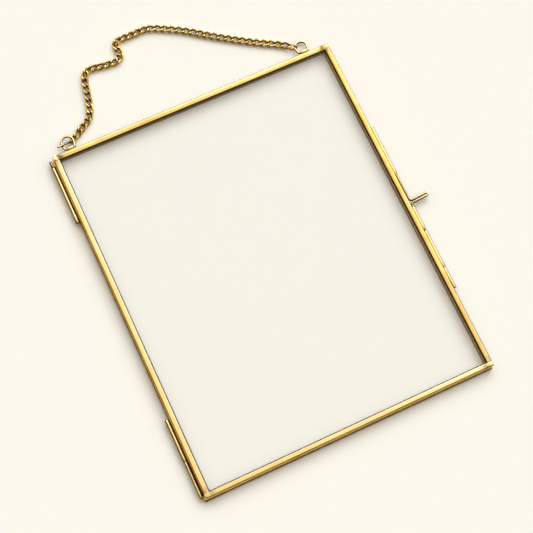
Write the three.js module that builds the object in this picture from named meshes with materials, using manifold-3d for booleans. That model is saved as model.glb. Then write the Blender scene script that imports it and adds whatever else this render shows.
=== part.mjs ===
// A double-glazed brass picture frame with a hanging chain, in millimetres, +Z up.
// Two brass-railed glass leaves close on a print like the covers of a book: two knuckle hinges on the
// left edge, a sliding pull pin on the right edge, and a chain hung from two wire rings at the top.
// The frame lies on its back. The origin is the middle of the rear bottom rail's back face,
// +X is right, +Y is towards the chain and +Z points out of the front pane.

import * as THREE from "three";
import { mergeVertices } from "three/addons/utils/BufferGeometryUtils.js";
import Module from "manifold-3d";

const wasm = await Module();
wasm.setup();

// Leaves: the clear opening, the folded brass rail round it and the pane in the rail's groove
const OPENING_WIDTH = 203.6;
const OPENING_HEIGHT = 249.2;
const RAIL_FACE = 3.4; // width of a rail seen from the front
const RAIL_METAL = 0.5; // thickness of the folded strip
const EDGE_ROUND = 0.45; // radius of a rail's outer long edges
const GLASS_THICKNESS = 2;
const GLASS_PLAY = 0.2; // between a pane and each flange of the rail
const GLASS_EDGE_PLAY = 0.3; // between a pane's edge and the bottom of the groove
const LEAF_GAP = 0.4; // between the closed leaves
const FRONT_SHIFT_X = 0.8; // the front leaf sits this far to the right of the rear one
const FRONT_SHIFT_Y = 0.4; // and this far towards the chain

// Solder webs that carry the tubes on the rails' outer walls
const WEB_THICKNESS = 0.7;

// Hinges on the left edge
const HINGE_PIN = 1.3; // diameter
const HINGE_PLAY = 0.08; // radial
const HINGE_PIN_PROUD = 0.5; // the pin stands out of the knuckles at each end
const REAR_KNUCKLE_OUTER = 2.6; // diameter
const FRONT_KNUCKLE_OUTER = 2.1; // diameter
const KNUCKLE_STANDOFF = 0.05; // between a rear knuckle and the rear rail's wall
const KNUCKLE_GAP = 0.4; // along the axis, between two knuckles
const UPPER_HINGE_INSET = 1.8; // from the front leaf's top edge
const UPPER_FRONT_KNUCKLE = 4.8; // length
const UPPER_REAR_KNUCKLE = 43; // length
const LOWER_HINGE_INSET = 2; // from the front leaf's bottom edge
const LOWER_FRONT_KNUCKLE = 25.6; // length
const LOWER_REAR_KNUCKLE = 29.7; // length

// Clasp on the right edge: guide tubes on the front leaf, keepers on the rear leaf
const PULL_WIRE = 1.45; // diameter
const GUIDE_PLAY = 0.08; // radial
const GUIDE_OUTER = 2.4; // diameter
const GUIDE_STANDOFF = 0.2; // between a guide tube and the front rail's wall
const UPPER_GUIDE_ABOVE_HANDLE = 22.5; // from the handle's middle to the tube's lower end
const UPPER_GUIDE = 38.4; // length
const LOWER_GUIDE_BELOW_HANDLE = 3.8; // from the handle's middle to the tube's upper end
const LOWER_GUIDE = 17.6; // length
const KEEPER_PLAY = 0.15; // radial
const KEEPER_WALL = 0.33;
const KEEPER_GAP = 1.4; // along the axis, below the lower guide tube
const UPPER_KEEPER = 28.2; // length
const LOWER_KEEPER_GAP = 1; // along the axis, between the keepers
const LOWER_KEEPER = 15.1; // length
const HANDLE_BELOW_MIDDLE = 1.7; // from the rear leaf's middle
const HANDLE_REACH = 14.3; // from the pin's axis to the loop's outer tip
const HANDLE_WIDTH = 1.65; // between the centres of the loop's two wires, beside the pin
const HANDLE_TIP_WIDTH = 2; // the same, at the loop's tip
const HANDLE_RISE = 0.95; // the loop's tip is bent up this much
const HANDLE_BEND = 2; // bend radius where the loop leaves the pin
const UPPER_STEM_ENTRY = 17.6; // length inside the upper guide tube
const KEEPER_ENTRY = 15.1; // length inside the upper keeper

// Hanging rings in their tubes on the rear top rail
const RING_WIRE = 1.5; // diameter
const RING_BASE = 7.2; // between the base's two corners
const RING_WIDTH = 8.7; // between the centres of the round end's two sides
const RING_REACH = 4.5; // from the base wire to the middle of the round end
const RING_CORNER = 0.75; // bend radius beside the tube
const RING_PLAY = 0.15; // radial, in the tube
const RING_TUBE_OUTER = 2.4; // diameter
const RING_TUBE_END_GAP = 0.2; // between a tube's end and the ring's bend
const RING_TUBE_STANDOFF = 1.5; // between a ring tube and the rear rail's wall
const LEFT_RING_INSET = 14.8; // from the rear leaf's left edge to the ring's middle
const RIGHT_RING_INSET = 16.6; // from the rear leaf's right edge to the ring's middle
const LEFT_RING_TILT = 1.5; // degrees down from level: it lies on the chain's first link
const RIGHT_RING_TILT = 13; // degrees down from level: it lies on the chain's last link

// Toggle bar that locks the chain in the left ring
const BAR_WIRE = 1.3; // diameter
const BAR_END = new THREE.Vector3(-98, 259.6, 6.8);
const EYE_CENTRE = new THREE.Vector3(-87.6, 261.7, 1.65);
const EYE_RADIUS = 1.3; // to the wire's centre
const EYE_WIRE = 0.7; // diameter
const EYE_ROLL = -60; // degrees about the bar

// Curb chain, laid along hand-chosen points from the toggle's eye to the right ring
const LINK_COUNT = 45;
const LINK_WIRE = 1.5; // diameter
const LINK_WIDTH = 4; // between the centres of a link's two sides
const END_LINK_WIRE = 1.15; // the first and last links are lighter, to pass through the eye and the ring
const END_LINK_WIDTH = 3.25;
const LINK_TWIST = 45; // degrees either way from flat, at a link's two ends
const LAST_LINK_TWIST = 80; // degrees: the last link stands up round the right ring
const LINK_SINK = 0.3; // how far each link's end is sunk in the next, so that the chain is one piece
const CHAIN_ROUTE = [
  [-87.5, 261.7, 1.65],
  [-84.9, 263.1, 1.65],
  [-82.5, 264.6, 1.68],
  [-78.8, 267.1, 1.68],
  [-74.2, 269.7, 1.68],
  [-70.3, 271.9, 1.68],
  [-66.6, 278.6, 1.68],
  [-63.7, 289.7, 1.68],
  [-61.3, 300.5, 1.68],
  [-58.0, 306.4, 1.68],
  [-53.1, 306.7, 1.68],
  [-47.2, 305.8, 1.68],
  [-39.0, 304.6, 1.68],
  [-33.0, 305.0, 1.68],
  [-30.5, 308.7, 1.68],
  [-31.3, 313.8, 1.68],
  [-30.6, 318.2, 1.68],
  [-26.8, 319.3, 1.68],
  [-21.7, 319.2, 1.68],
  [-15.1, 319.2, 1.68],
  [-6.0, 319.3, 1.68],
  [-2.0, 318.0, 1.68],
  [5.4, 314.2, 1.68],
  [15.3, 308.7, 1.68],
  [24.9, 302.2, 1.68],
  [30.3, 298.1, 1.68],
  [45.2, 288.0, 1.68],
  [60.3, 278.4, 1.68],
  [75.7, 269.5, 1.7],
  [80.7, 265.95, 2.0],
  [85.75, 262.7, 2.25],
];

// How finely round things are drawn
const TUBE_SIDES = 24;
const WIRE_SIDES = 8;
const BEND_STEPS = 4; // in a quarter turn of the pull pin
const RING_STEPS = 5; // in a quarter turn of a ring
const EYE_STEPS = 3; // in a quarter turn of the toggle's eye
const LINK_STEPS = 2; // in a quarter turn of a chain link
const LINK_SIDES = 5;

const MIDDLE_AXIS = new THREE.Vector3(0, 0, 1);
const THROUGH_CUT = 1; // how far a cutting solid runs past what it cuts

// Sizes that follow from the driving dimensions
const leafWidth = OPENING_WIDTH + 2 * RAIL_FACE;
const leafHeight = OPENING_HEIGHT + 2 * RAIL_FACE;
const leafDepth = GLASS_THICKNESS + 2 * (GLASS_PLAY + RAIL_METAL);
const rearMiddleY = (OPENING_HEIGHT + RAIL_FACE) / 2;
const rearLeft = -leafWidth / 2;
const rearRight = leafWidth / 2;
const rearTop = rearMiddleY + leafHeight / 2;
const frontLeft = rearLeft + FRONT_SHIFT_X;
const frontRight = rearRight + FRONT_SHIFT_X;
const frontTop = rearTop + FRONT_SHIFT_Y;
const frontBottom = frontTop - leafHeight;
const frontZ = leafDepth + LEAF_GAP;
const axisZ = leafDepth + LEAF_GAP / 2; // every tube lies level with the gap between the leaves
const webNear = LEAF_GAP / 2 + EDGE_ROUND; // a web starts where the rail's wall turns flat
const webFar = webNear + WEB_THICKNESS;
const hingeX = rearLeft - KNUCKLE_STANDOFF - REAR_KNUCKLE_OUTER / 2;
const claspX = frontRight + GUIDE_STANDOFF + GUIDE_OUTER / 2;
const handleY = rearMiddleY - HANDLE_BELOW_MIDDLE;
const ringY = rearTop + RING_TUBE_STANDOFF + RING_TUBE_OUTER / 2;
const leftRingX = rearLeft + LEFT_RING_INSET;
const rightRingX = rearRight - RIGHT_RING_INSET;

const BRASS = new THREE.MeshStandardMaterial({ color: 0xe6c168, roughness: 0.22, metalness: 1 });
const TUBE_BRASS = new THREE.MeshStandardMaterial({ color: 0xd9b560, roughness: 0.3, metalness: 1 });
const WIRE_BRASS = new THREE.MeshStandardMaterial({ color: 0xc99a43, roughness: 0.28, metalness: 1 });
const GLASS = new THREE.MeshStandardMaterial({
  color: 0xf4f7f2,
  roughness: 0.03,
  metalness: 0,
  transparent: true,
  opacity: 0.3,
});

// A closed three.js geometry as a solid that can be cut and joined
function solidOf(geometry) {
  const bare = geometry.clone();
  bare.deleteAttribute("normal");
  bare.deleteAttribute("uv");
  const merged = mergeVertices(bare, 1e-4);
  return new wasm.Manifold(
    new wasm.Mesh({
      numProp: 3,
      vertProperties: merged.attributes.position.array,
      triVerts: new Uint32Array(merged.index.array),
    }),
  );
}

// A cut or joined solid back as a three.js geometry
function geometryOf(solid) {
  const mesh = solid.getMesh();
  const geometry = new THREE.BufferGeometry();
  geometry.setAttribute("position", new THREE.BufferAttribute(mesh.vertProperties, 3));
  geometry.setIndex(new THREE.BufferAttribute(mesh.triVerts, 1));
  const flat = geometry.toNonIndexed();
  flat.computeVertexNormals();
  return flat;
}

function boxSolid(low, high) {
  const box = new THREE.Box3(new THREE.Vector3(...low), new THREE.Vector3(...high));
  const size = box.getSize(new THREE.Vector3());
  const middle = box.getCenter(new THREE.Vector3());
  return solidOf(new THREE.BoxGeometry(size.x, size.y, size.z).translate(middle.x, middle.y, middle.z));
}

// A path whose sections lie exactly at the chosen stations
class StationPath extends THREE.Curve {
  constructor(stations, closed = false) {
    super();
    this.stations = stations;
    this.closed = closed;
    this.steps = closed ? stations.length : stations.length - 1;
  }
  station(index) {
    const count = this.stations.length;
    const wrapped = ((index % count) + count) % count;
    return this.stations[this.closed ? wrapped : Math.min(Math.max(index, 0), count - 1)];
  }
  getPointAt(u) {
    return this.station(Math.round(u * this.steps)).clone();
  }
  getTangentAt(u) {
    const index = Math.round(u * this.steps);
    const here = this.station(index);
    const before = here.clone().sub(this.station(index - 1)).normalize();
    const after = this.station(index + 1).clone().sub(here).normalize();
    return before.add(after).normalize();
  }
}

// Stations along straight runs joined by round bends, in the XY plane; corners are [x, y, radius, steps]
function bentStations(corners, closed) {
  const stations = [];
  const add = (point) => {
    const last = stations[stations.length - 1];
    if (!last || last.distanceTo(point) > 1e-6) stations.push(point);
  };
  const count = corners.length;
  corners.forEach(([x, y, radius, steps], i) => {
    const corner = new THREE.Vector2(x, y);
    if (!closed && (i === 0 || i === count - 1)) {
      add(new THREE.Vector3(x, y, 0));
      return;
    }
    const [beforeX, beforeY] = corners[(i + count - 1) % count];
    const [afterX, afterY] = corners[(i + 1) % count];
    const arriving = new THREE.Vector2(x - beforeX, y - beforeY).normalize();
    const leaving = new THREE.Vector2(afterX - x, afterY - y).normalize();
    const turn = Math.atan2(arriving.cross(leaving), arriving.dot(leaving));
    const setback = radius * Math.tan(Math.abs(turn) / 2);
    const side = new THREE.Vector2(-arriving.y, arriving.x).multiplyScalar(radius * Math.sign(turn));
    const start = corner.clone().addScaledVector(arriving, -setback);
    const centre = start.clone().add(side);
    for (let k = 0; k <= steps; k++) {
      const point = start.clone().rotateAround(centre, (turn * k) / steps);
      add(new THREE.Vector3(point.x, point.y, 0));
    }
  });
  if (closed && stations[0].distanceTo(stations[stations.length - 1]) < 1e-6) stations.pop();
  return stations;
}

// A round wire along an open path
function openWire(path, diameter, sides) {
  const section = new THREE.Shape();
  for (let k = 0; k < sides; k++) {
    const angle = (2 * Math.PI * k) / sides;
    const x = (diameter / 2) * Math.cos(angle);
    const y = (diameter / 2) * Math.sin(angle);
    if (k === 0) section.moveTo(x, y);
    else section.lineTo(x, y);
  }
  return new THREE.ExtrudeGeometry(section, { steps: path.steps, extrudePath: path });
}

// A round wire along a closed path, without a seam
function closedWire(path, diameter, sides) {
  const frames = path.computeFrenetFrames(path.steps, true);
  const positions = [];
  const faces = [];
  for (let i = 0; i < path.steps; i++) {
    for (let j = 0; j < sides; j++) {
      const angle = (2 * Math.PI * j) / sides;
      const point = path.stations[i].clone();
      point.addScaledVector(frames.normals[i], (diameter / 2) * Math.cos(angle));
      point.addScaledVector(frames.binormals[i], (diameter / 2) * Math.sin(angle));
      positions.push(point.x, point.y, point.z);
      const a = i * sides + j;
      const b = i * sides + ((j + 1) % sides);
      const c = ((i + 1) % path.steps) * sides + j;
      const d = ((i + 1) % path.steps) * sides + ((j + 1) % sides);
      faces.push(a, b, c, b, d, c);
    }
  }
  const geometry = new THREE.BufferGeometry();
  geometry.setAttribute("position", new THREE.Float32BufferAttribute(positions, 3));
  geometry.setIndex(faces);
  geometry.computeVertexNormals();
  return geometry;
}

function namedMesh(name, geometry, material) {
  const mesh = new THREE.Mesh(geometry, material);
  mesh.name = name;
  return mesh;
}

// A rail lies along X with its outer wall on the -Y side and its groove open to +Y
function railOutline(grooved) {
  const outline = new THREE.Shape();
  outline.moveTo(RAIL_FACE, 0);
  if (grooved) {
    outline.lineTo(RAIL_FACE, RAIL_METAL);
    outline.lineTo(RAIL_METAL, RAIL_METAL);
    outline.lineTo(RAIL_METAL, leafDepth - RAIL_METAL);
    outline.lineTo(RAIL_FACE, leafDepth - RAIL_METAL);
  }
  outline.lineTo(RAIL_FACE, leafDepth);
  outline.lineTo(EDGE_ROUND, leafDepth);
  outline.absarc(EDGE_ROUND, leafDepth - EDGE_ROUND, EDGE_ROUND, Math.PI / 2, Math.PI, false);
  outline.lineTo(0, EDGE_ROUND);
  outline.absarc(EDGE_ROUND, EDGE_ROUND, EDGE_ROUND, Math.PI, 1.5 * Math.PI, false);
  return outline;
}

// The outline's own X and Y become the rail's Y and Z, and the extrusion runs along X
function railBar(length, grooved) {
  const bar = new THREE.ExtrudeGeometry(railOutline(grooved), {
    depth: length,
    bevelEnabled: false,
    curveSegments: 3,
  });
  bar.applyMatrix4(
    new THREE.Matrix4().makeBasis(
      new THREE.Vector3(0, 1, 0),
      new THREE.Vector3(0, 0, 1),
      new THREE.Vector3(1, 0, 0),
    ),
  );
  return bar.translate(-length / 2, 0, 0);
}

// The end rails run the leaf's full width, and their two ends are closed by the folded strip
function endRailGeometry() {
  const half = leafWidth / 2 - RAIL_METAL;
  const groove = boxSolid(
    [-half, RAIL_METAL, RAIL_METAL],
    [half, RAIL_FACE + THROUGH_CUT, leafDepth - RAIL_METAL],
  );
  return geometryOf(solidOf(railBar(leafWidth, false)).subtract(groove));
}

// The side rails butt between the end rails
function sideRailGeometry() {
  return railBar(OPENING_HEIGHT, true);
}

function paneGeometry() {
  const margin = 2 * (RAIL_FACE - RAIL_METAL - GLASS_EDGE_PLAY);
  return new THREE.BoxGeometry(OPENING_WIDTH + margin, OPENING_HEIGHT + margin, GLASS_THICKNESS);
}

// One glazed leaf, its group standing at the middle of its back
function makeLeaf(prefix) {
  const leaf = new THREE.Group();
  const top = namedMesh(`${prefix}_top_rail`, endRailGeometry(), BRASS);
  top.position.y = leafHeight / 2;
  top.rotation.z = Math.PI;
  const bottom = namedMesh(`${prefix}_bottom_rail`, endRailGeometry(), BRASS);
  bottom.position.y = -leafHeight / 2;
  const left = namedMesh(`${prefix}_left_rail`, sideRailGeometry(), BRASS);
  left.position.x = -leafWidth / 2;
  left.rotation.z = -Math.PI / 2;
  const right = namedMesh(`${prefix}_right_rail`, sideRailGeometry(), BRASS);
  right.position.x = leafWidth / 2;
  right.rotation.z = Math.PI / 2;
  const pane = namedMesh(`${prefix}_glass_pane`, paneGeometry(), GLASS);
  pane.position.z = leafDepth / 2;
  leaf.add(top, bottom, left, right, pane);
  return leaf;
}

function rodGeometry(diameter, length) {
  return new THREE.CylinderGeometry(diameter / 2, diameter / 2, length, TUBE_SIDES);
}

// A tube along Y with a solder web to a wall at x = wallX; the web lies above the axis for a front
// tube and below it for a rear one. An open-mouthed tube is cut away above its axis.
function tubeGeometry({ outer, bore, length, wallX, front, openMouthed }) {
  const webLow = front ? webNear : -webFar;
  const web = boxSolid(
    [Math.min(0, wallX), -length / 2, webLow],
    [Math.max(0, wallX), length / 2, webLow + WEB_THICKNESS],
  );
  let solid = solidOf(rodGeometry(outer, length)).add(web);
  solid = solid.subtract(solidOf(rodGeometry(bore, length + THROUGH_CUT)));
  if (openMouthed) {
    solid = solid.subtract(boxSolid([-outer, -length, 0], [outer, length, outer]));
  }
  return geometryOf(solid);
}

function makeTube(name, x, lowY, length, shape) {
  const tube = namedMesh(name, tubeGeometry({ length, ...shape }), TUBE_BRASS);
  tube.position.set(x, lowY + length / 2, axisZ);
  return tube;
}

// A hinge: one knuckle on each leaf, on a fixed pin. Returns the rear leaf's pieces and the front one's.
function makeHinge(name, rearLow, rearLength, frontLow, frontLength) {
  const bore = HINGE_PIN + 2 * HINGE_PLAY;
  const rear = makeTube(`hinge_${name}_rear_knuckle`, hingeX, rearLow, rearLength, {
    outer: REAR_KNUCKLE_OUTER,
    bore,
    wallX: rearLeft - hingeX,
    front: false,
  });
  const front = makeTube(`hinge_${name}_front_knuckle`, hingeX, frontLow, frontLength, {
    outer: FRONT_KNUCKLE_OUTER,
    bore,
    wallX: frontLeft - hingeX,
    front: true,
  });
  const low = Math.min(rearLow, frontLow) - HINGE_PIN_PROUD;
  const high = Math.max(rearLow + rearLength, frontLow + frontLength) + HINGE_PIN_PROUD;
  const pin = namedMesh(`hinge_${name}_pin`, rodGeometry(HINGE_PIN, high - low), WIRE_BRASS);
  pin.position.set(hingeX, (low + high) / 2, axisZ);
  return { onRear: [rear, pin], onFront: [front] };
}

function makeUpperHinge() {
  const frontLow = frontTop - UPPER_HINGE_INSET - UPPER_FRONT_KNUCKLE;
  const rearLow = frontLow - KNUCKLE_GAP - UPPER_REAR_KNUCKLE;
  return makeHinge("upper", rearLow, UPPER_REAR_KNUCKLE, frontLow, UPPER_FRONT_KNUCKLE);
}

function makeLowerHinge() {
  const frontLow = frontBottom + LOWER_HINGE_INSET;
  const rearLow = frontLow + LOWER_FRONT_KNUCKLE + KNUCKLE_GAP;
  return makeHinge("lower", rearLow, LOWER_REAR_KNUCKLE, frontLow, LOWER_FRONT_KNUCKLE);
}

const lowerGuideLow = handleY - LOWER_GUIDE_BELOW_HANDLE - LOWER_GUIDE;
const upperKeeperHigh = lowerGuideLow - KEEPER_GAP;

// The guide tubes carry the pull pin on the front leaf
function makeGuideTubes() {
  const shape = {
    outer: GUIDE_OUTER,
    bore: PULL_WIRE + 2 * GUIDE_PLAY,
    wallX: frontRight - claspX,
    front: true,
  };
  const upperLow = handleY + UPPER_GUIDE_ABOVE_HANDLE;
  return [
    makeTube("clasp_upper_guide_tube", claspX, upperLow, UPPER_GUIDE, shape),
    makeTube("clasp_lower_guide_tube", claspX, lowerGuideLow, LOWER_GUIDE, shape),
  ];
}

// The pull pin's end lies in the upper keeper, whose mouth is open to the front so that the leaf
// lifts clear of it; the lower keeper is a closed tube below the pin's end
function makeKeepers() {
  const wallX = rearRight - claspX;
  const keeperBore = PULL_WIRE + 2 * KEEPER_PLAY;
  const upper = makeTube(
    "clasp_upper_keeper",
    claspX,
    upperKeeperHigh - UPPER_KEEPER,
    UPPER_KEEPER,
    { outer: keeperBore + 2 * KEEPER_WALL, bore: keeperBore, wallX, front: false, openMouthed: true },
  );
  const lower = makeTube(
    "clasp_lower_keeper",
    claspX,
    upperKeeperHigh - UPPER_KEEPER - LOWER_KEEPER_GAP - LOWER_KEEPER,
    LOWER_KEEPER,
    { outer: GUIDE_OUTER, bore: PULL_WIRE + 2 * GUIDE_PLAY, wallX, front: false },
  );
  return [upper, lower];
}

// One wire: a stem in the upper guide tube, a hairpin handle, and a stem down into the keeper
function makePullPin() {
  const tip = HANDLE_REACH - PULL_WIRE / 2;
  const half = HANDLE_WIDTH / 2;
  const tipHalf = HANDLE_TIP_WIDTH / 2;
  const tipBend = 0.97 * tipHalf; // a hair less, because the tip's two bends turn a little over 180 degrees
  const stations = bentStations(
    [
      [0, UPPER_GUIDE_ABOVE_HANDLE + UPPER_STEM_ENTRY],
      [0, half, HANDLE_BEND, BEND_STEPS],
      [tip, HANDLE_RISE + tipHalf, tipBend, BEND_STEPS],
      [tip, HANDLE_RISE - tipHalf, tipBend, BEND_STEPS],
      [0, -half, HANDLE_BEND, BEND_STEPS],
      [0, upperKeeperHigh - KEEPER_ENTRY - handleY],
    ],
    false,
  );
  const pin = namedMesh(
    "clasp_pull_pin",
    openWire(new StationPath(stations), PULL_WIRE, WIRE_SIDES),
    WIRE_BRASS,
  );
  pin.position.set(claspX, handleY, axisZ);
  return pin;
}

// A ring's two sides lean outwards from its base, by this angle, to meet its round end
const ringLean =
  Math.atan2(RING_REACH, RING_BASE / 2) - Math.acos(RING_WIDTH / Math.hypot(2 * RING_REACH, RING_BASE));

// A ring tube lies along X, its web turned to the rear top rail
function makeRingTube(side, x) {
  const bend = RING_CORNER * Math.tan(Math.PI / 4 + ringLean / 2);
  const length = RING_BASE - 2 * (bend + RING_TUBE_END_GAP);
  const geometry = tubeGeometry({
    outer: RING_TUBE_OUTER,
    bore: RING_WIRE + 2 * RING_PLAY,
    length,
    wallX: ringY - rearTop,
    front: false,
  });
  const tube = namedMesh(`${side}_ring_tube`, geometry, TUBE_BRASS);
  tube.position.set(x, ringY, axisZ);
  tube.rotation.z = -Math.PI / 2;
  return tube;
}

// A round wire ring with a straight base that turns in its tube
function makeRing(side, x, tilt) {
  const base = RING_BASE / 2;
  const far = RING_REACH + RING_WIDTH / 2;
  const farCorner = base + far * Math.tan(ringLean);
  const farBend = 0.999 * (RING_WIDTH / 2);
  const stations = bentStations(
    [
      [-base, 0, RING_CORNER, RING_STEPS - 1],
      [base, 0, RING_CORNER, RING_STEPS - 1],
      [farCorner, far, farBend, RING_STEPS],
      [-farCorner, far, farBend, RING_STEPS],
    ],
    true,
  );
  const geometry = closedWire(new StationPath(stations, true), RING_WIRE, WIRE_SIDES);
  const ring = namedMesh(`${side}_hanging_ring`, geometry, WIRE_BRASS);
  ring.position.set(x, ringY, axisZ);
  ring.rotation.x = THREE.MathUtils.degToRad(-tilt);
  return ring;
}

// The bar rests on the left ring's outer side, and its eye lies inside the ring
function makeToggleBar() {
  const along = EYE_CENTRE.clone().sub(BAR_END).normalize();
  const barFoot = EYE_CENTRE.clone().addScaledVector(along, -EYE_RADIUS);
  const bar = openWire(new StationPath([BAR_END, barFoot]), BAR_WIRE, WIRE_SIDES);
  const eyeNormal = MIDDLE_AXIS.clone()
    .projectOnPlane(along)
    .normalize()
    .applyAxisAngle(along, THREE.MathUtils.degToRad(EYE_ROLL));
  const across = eyeNormal.clone().cross(along);
  const stations = [];
  for (let k = 0; k < 4 * EYE_STEPS; k++) {
    const angle = (Math.PI * k) / (2 * EYE_STEPS);
    const point = EYE_CENTRE.clone();
    point.addScaledVector(along, EYE_RADIUS * Math.cos(angle));
    point.addScaledVector(across, EYE_RADIUS * Math.sin(angle));
    stations.push(point);
  }
  const eye = closedWire(new StationPath(stations, true), EYE_WIRE, WIRE_SIDES);
  return namedMesh("chain_toggle_bar", geometryOf(solidOf(bar).add(solidOf(eye))), WIRE_BRASS);
}

// A link between two joints of the chain: an oval of wire, twisted about its length
function linkSolid(from, to, wire, width, startTwist, endTwist) {
  const length = from.distanceTo(to) + wire - LINK_SINK;
  const half = width / 2;
  const oval = bentStations(
    [
      [-length / 2, -half, half, LINK_STEPS],
      [length / 2, -half, half, LINK_STEPS],
      [length / 2, half, half, LINK_STEPS],
      [-length / 2, half, half, LINK_STEPS],
    ],
    true,
  );
  const along = to.clone().sub(from).normalize();
  const across = MIDDLE_AXIS.clone().cross(along).normalize();
  const up = along.clone().cross(across);
  const middle = from.clone().add(to).multiplyScalar(0.5);
  const place = new THREE.Matrix4().makeBasis(along, across, up).setPosition(middle);
  const stations = oval.map((point) => {
    const twist = THREE.MathUtils.lerp(startTwist, endTwist, point.x / length + 0.5);
    point.applyAxisAngle(new THREE.Vector3(1, 0, 0), THREE.MathUtils.degToRad(twist));
    return point.applyMatrix4(place);
  });
  return solidOf(closedWire(new StationPath(stations, true), wire, LINK_SIDES));
}

function makeChain() {
  const route = new THREE.CatmullRomCurve3(
    CHAIN_ROUTE.map(([x, y, z]) => new THREE.Vector3(x, y, z)),
    false,
    "centripetal",
  );
  route.arcLengthDivisions = 1000;
  const joints = route.getSpacedPoints(LINK_COUNT);
  const links = [];
  for (let i = 0; i < LINK_COUNT; i++) {
    const last = i === LINK_COUNT - 1;
    const light = i === 0 || last;
    const wire = light ? END_LINK_WIRE : LINK_WIRE;
    const width = light ? END_LINK_WIDTH : LINK_WIDTH;
    const endTwist = last ? LAST_LINK_TWIST : -LINK_TWIST;
    links.push(linkSolid(joints[i], joints[i + 1], wire, width, LINK_TWIST, endTwist));
  }
  const chain = wasm.Manifold.union(links);
  return namedMesh("hanging_chain", geometryOf(chain), WIRE_BRASS);
}

function makeFrame() {
  const frame = new THREE.Group();
  const rearLeaf = makeLeaf("rear");
  rearLeaf.position.set(0, rearMiddleY, 0);
  const frontLeaf = makeLeaf("front");
  frontLeaf.position.set(FRONT_SHIFT_X, rearMiddleY + FRONT_SHIFT_Y, frontZ);
  frame.add(rearLeaf, frontLeaf);
  for (const hinge of [makeUpperHinge(), makeLowerHinge()]) {
    frame.add(...hinge.onRear, ...hinge.onFront);
  }
  frame.add(...makeGuideTubes(), ...makeKeepers(), makePullPin());
  frame.add(makeRingTube("left", leftRingX), makeRingTube("right", rightRingX));
  frame.add(makeRing("left", leftRingX, LEFT_RING_TILT));
  frame.add(makeRing("right", rightRingX, RIGHT_RING_TILT));
  frame.add(makeToggleBar(), makeChain());
  return frame;
}

const frame = makeFrame();
export default frame;
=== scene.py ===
# The looks of a double-glazed brass picture frame with a hanging chain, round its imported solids. It
# lies on its back as in the photograph: +X is right, +Y is towards the chain and +Z comes out of the
# front pane. Lengths are in metres, and sizes in millimetres are multiplied by MM.

import math

import bmesh
import bpy
from mathutils import Matrix, Vector, noise


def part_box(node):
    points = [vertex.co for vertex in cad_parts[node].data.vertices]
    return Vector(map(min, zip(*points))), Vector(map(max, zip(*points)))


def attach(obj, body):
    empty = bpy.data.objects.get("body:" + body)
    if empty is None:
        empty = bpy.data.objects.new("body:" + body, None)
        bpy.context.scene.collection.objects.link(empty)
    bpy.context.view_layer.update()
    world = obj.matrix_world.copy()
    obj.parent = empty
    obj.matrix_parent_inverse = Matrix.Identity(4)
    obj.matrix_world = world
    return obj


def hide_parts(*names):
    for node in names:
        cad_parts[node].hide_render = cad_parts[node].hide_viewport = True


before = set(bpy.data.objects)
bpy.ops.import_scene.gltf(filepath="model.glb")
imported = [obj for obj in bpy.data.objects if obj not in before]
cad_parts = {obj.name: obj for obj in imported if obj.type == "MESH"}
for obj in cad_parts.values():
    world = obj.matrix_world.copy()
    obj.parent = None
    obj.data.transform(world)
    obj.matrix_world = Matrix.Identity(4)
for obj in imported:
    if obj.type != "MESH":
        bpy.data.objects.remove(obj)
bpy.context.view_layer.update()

MM = 0.001
scene = bpy.context.scene
scene.view_settings.view_transform = "Standard"

# Camera: a long lens over the frame's lower left part, looking down and turned a little, so that
# the frame stands slanted in the picture and shows its left and bottom walls.
CAMERA_PLACE = Vector((-135.94, -78.37, 849.88))
CAMERA_TURN = (15.7971, -2.3685, -25.0594)  # degrees about X, Y and Z
camera_data = bpy.data.cameras.new("camera")
camera_data.lens = 87.8
camera_data.sensor_width = 36
camera_data.clip_start = 0.01
camera_data.clip_end = 20
camera = bpy.data.objects.new("camera", camera_data)
camera.location = CAMERA_PLACE * MM
camera.rotation_euler = [math.radians(a) for a in CAMERA_TURN]
scene.collection.objects.link(camera)
scene.camera = camera

# Hanging chain: a curb chain of round brass wire, each link twisted a quarter turn between its ends
# so that the chain lies flat. It is laid on the table in loose bends from the toggle to the right
# ring. Its links carry painted shade on their inner sides and on the side away from the lamp, and a
# painted highlight on top.
CHAIN_ROUTE = [
    (-87.5, 261.7, 1.65), (-84.9, 263.1, 1.65), (-82.5, 264.6, 1.68), (-78.8, 267.1, 1.68),
    (-74.2, 269.7, 1.68), (-70.3, 271.9, 1.68), (-66.6, 278.6, 1.68), (-63.7, 289.7, 1.68),
    (-61.3, 300.5, 1.68), (-58.0, 306.4, 1.68), (-53.1, 306.7, 1.68), (-47.2, 305.8, 1.68),
    (-39.0, 304.6, 1.68), (-33.0, 305.0, 1.68), (-30.5, 308.7, 1.68), (-31.3, 313.8, 1.68),
    (-30.6, 318.2, 1.68), (-26.8, 319.3, 1.68), (-21.7, 319.2, 1.68), (-15.1, 319.2, 1.68),
    (-6.0, 319.3, 1.68), (-2.0, 318.0, 1.68), (5.4, 314.2, 1.68), (15.3, 308.7, 1.68),
    (24.9, 302.2, 1.68), (30.3, 298.1, 1.68), (45.2, 288.0, 1.68), (60.3, 278.4, 1.68),
    (75.7, 269.5, 1.7), (80.7, 265.95, 2.0), (85.75, 262.7, 2.25),
]
ROUTE_STEPS = 30  # points of the fine line between two of the route's
LINK_COUNT = 45
LINK_WIRE = 1.7
LINK_WIDTH = 3.8  # between the centres of a link's two sides
END_LINK_WIRE = 1.15  # the first and last links are lighter, to pass through the eye and the ring
END_LINK_WIDTH = 3.25
LINK_TWIST = 45  # degrees either way from flat
LAST_LINK_TWIST = 80  # the last link stands up round the right ring
LINK_SINK = 0.12  # how far a link's end is let into the next one's
LINK_SIDES = 10
LINK_BEND_STEPS = 5  # in a quarter turn
LINK_HIGHLIGHT_FROM = 0.7  # a link gets a painted highlight where it faces up more than this
LINK_HIGHLIGHT_RISE = 4
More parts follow.
